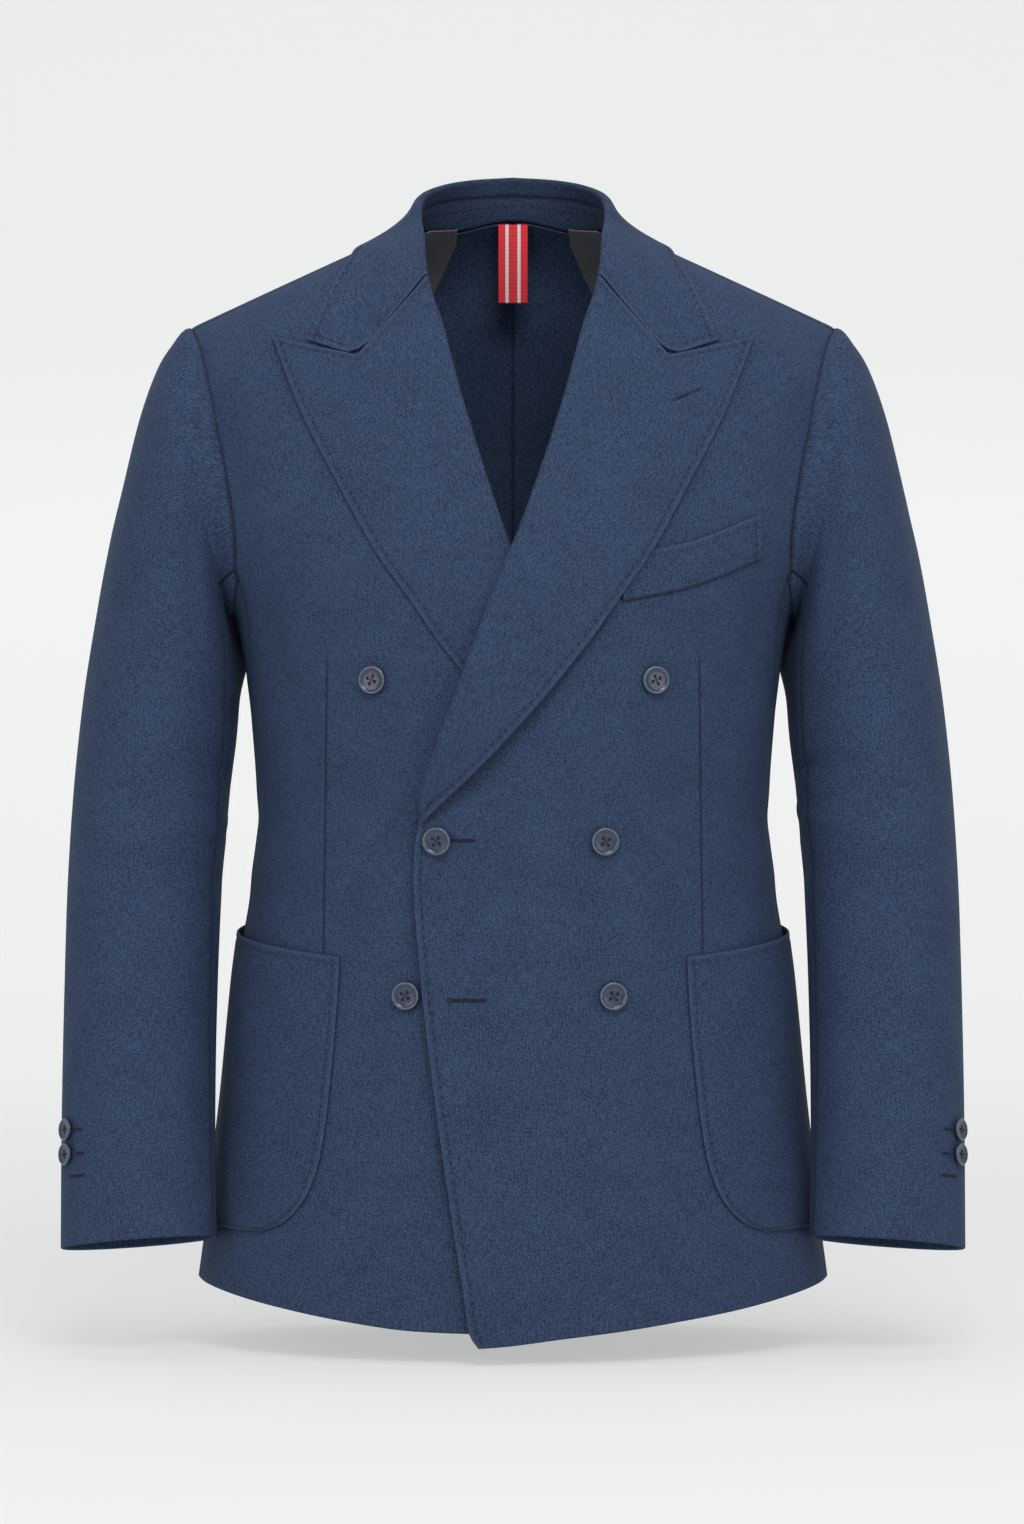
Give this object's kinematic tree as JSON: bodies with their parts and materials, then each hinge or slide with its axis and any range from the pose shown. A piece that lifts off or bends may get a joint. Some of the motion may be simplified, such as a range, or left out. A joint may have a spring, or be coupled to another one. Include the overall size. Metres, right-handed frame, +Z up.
{
  "type": "double breasted blazer",
  "caption": "Navy melange blazer with peak lapels, patch pockets and a breast welt, in its worn hollow shape.",
  "frame": {"origin": "midway between the two neck points, at the centre of the neck opening", "axes": "+X towards the wearer's left, +Y towards the back, +Z up along the centre back"},
  "size_m": [0.6088, 0.2586, 0.7926],
  "materials": {
    "cloth": "brushed navy melange suiting",
    "lining": "dark grey satin",
    "ribbon": "woven ribbon",
    "button": "glossy dark navy"
  },
  "bodies": {
    "root": {"front_left": "cloth", "side_left": "cloth", "back_left": "cloth", "lapel_left": "cloth", "top_sleeve_left": "cloth", "under_sleeve_left": "cloth", "pocket_left": "cloth", "front_right": "cloth", "side_right": "cloth", "back_right": "cloth", "lapel_right": "cloth", "top_sleeve_right": "cloth", "under_sleeve_right": "cloth", "pocket_right": "cloth", "collar": "cloth", "collar_stand": "cloth", "breast_welt": "cloth", "shoulder_lining_left": "lining", "shoulder_lining_right": "lining", "neck_tab": "ribbon", "button_upper_left": "button", "button_upper_right": "button", "button_middle_left": "button", "button_middle_right": "button", "button_lower_left": "button", "button_lower_right": "button", "cuff_button_left_1": "button", "cuff_button_left_2": "button", "cuff_button_right_1": "button", "cuff_button_right_2": "button"}
  },
  "joints": []
}
